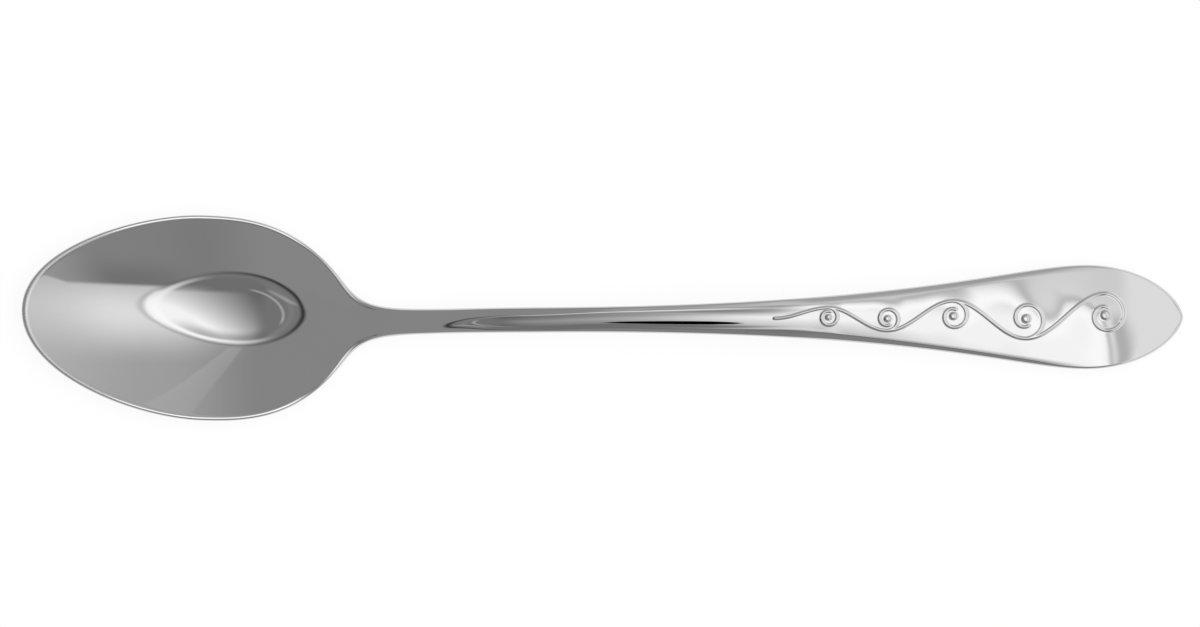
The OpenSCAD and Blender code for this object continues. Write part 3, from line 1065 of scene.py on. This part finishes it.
# The swings spread out as they go, by the same extra length each time.
growth = np.linspace(0, 1, CURLS)
spread = growth * (1 - SWING_SPREAD + SWING_SPREAD * growth)
swing_places = FIRST_SWING + (LAST_SWING - FIRST_SWING) * spread
swing_sides = np.where(np.arange(CURLS) % 2 == 0, 1, -1)
swing_heights = SWING_SHARE * half_width(swing_places)
pearl_radii = SMALLEST_PEARL + PEARL_GROWTH * growth
print("swings at", swing_places.round(1), "mm")

# %% Scroll lines
CURL_TURNS = 1.05
PEARL_GAP = 0.42
POINT_STEP = 0.08
# A swing is taken to be this many times longer than its run, so that its points lie close enough.
LINE_PER_RUN = 1.5


def swing_line():
    """Points of the line that swings from its start through every turning point."""
    places = np.concatenate([[SCROLL_FROM], swing_places])
    asides = np.concatenate([[0], swing_sides * swing_heights])
    points = []
    for run, start, rise, base in zip(np.diff(places), places, np.diff(asides), asides):
        t = np.linspace(0, 1, int(run * LINE_PER_RUN / POINT_STEP))
        points.append(np.column_stack([start + t * run, base + rise * (1 - np.cos(math.pi * t)) / 2]))
    return np.concatenate(points)


def curl_middle(i):
    """Middle of a curl, and how far from it the curl leaves the line."""
    reach = CURL_SHARE * swing_heights[i]
    return np.array([swing_places[i], swing_sides[i] * (swing_heights[i] - reach)]), reach


def curl_line(i):
    """Points of the curl that leaves a turning point and winds in to its pearl."""
    middle, reach = curl_middle(i)
    turn = np.linspace(0, 1, int(2 * math.pi * CURL_TURNS * reach / POINT_STEP))
    distance = reach + (pearl_radii[i] + PEARL_GAP - reach) * turn
    angle = swing_sides[i] * math.pi * (0.5 - 2 * CURL_TURNS * turn)
    return middle + np.column_stack([distance * np.cos(angle), distance * np.sin(angle)])


scroll_points = np.concatenate([swing_line()] + [curl_line(i) for i in range(CURLS)])
nearest = KDTree(len(scroll_points))
for index, point in enumerate(scroll_points):
    nearest.insert((*point, 0), index)
nearest.balance()
print("scroll points", len(scroll_points))

# %% [markdown]
# The nearest point of the scroll gives each place on the handle its height: a soft ridge close to a line, and
# a flat-topped button on a pearl. Cold steel doesn't fill a die's sharp corners, so both end softly. The
# ground swells a little round each curl, because steel is drawn up there, and so the mirror ripples. The die
# also rolls the long edges of the handle's end down a little, which draws a dark line along them.

# %% Scroll relief
RIDGE_HALF, RIDGE_HEIGHT, RIDGE_SHAPE = 0.29, 0.1, (2, 1.5)
PEARL_HEIGHT, PEARL_SHAPE = 0.18, (4, 1.5)
SWELL_REACH, SWELL_RISE, SWELL_SHAPE = 2.3, 0.01, (2, 3)
ROLL_WIDTH, ROLL_DEPTH = 1.2, 0.24
ROLL_RUN, ROLL_ENDS = 11.0, (158.0, 174.0)
end_from, end_to = node_span("handle_end")
roll_starts = (end_from, end_from + ROLL_RUN)


def mound(distance, radius, shape):
    """1 in the middle and 0 from the radius on. Two powers flatten the top and soften the foot."""
    flatness, softness = shape
    return (1 - np.clip(distance / radius, 0, 1) ** flatness) ** softness


def scroll(place, aside):
    """Height of the scroll above the plain handle."""
    from_line = np.array([nearest.find((x, y, 0))[2] for x, y in zip(place, aside)])
    height = RIDGE_HEIGHT * mound(from_line, RIDGE_HALF, RIDGE_SHAPE)
    ground = np.zeros_like(height)
    for i in range(CURLS):
        middle, reach = curl_middle(i)
        away = np.hypot(place - middle[0], aside - middle[1])
        height = np.maximum(height, PEARL_HEIGHT * mound(away, pearl_radii[i], PEARL_SHAPE))
        ground += SWELL_RISE * reach**2 * mound(away, SWELL_REACH * reach, SWELL_SHAPE)
    inward = half_width(place) - np.abs(aside)
    roll = ROLL_DEPTH * np.clip(1 - inward / ROLL_WIDTH, 0, 1) ** 2
    roll *= ease(roll_starts, place) * (1 - ease(ROLL_ENDS, place))
    relief = height + ground - roll
    print("relief from", round(relief.min(), 2), "to", round(relief.max(), 2), "mm")
    return relief


# %% Handle end
handle_end = new_bar("pressed_handle_end", sides=96, finest=0.0155, cuts=(19, 22))
press(handle_end, rows_between(end_from, end_to, tip="end"), tip_place=end_to, relief=scroll)
hand_over(handle_end, "handle_end")
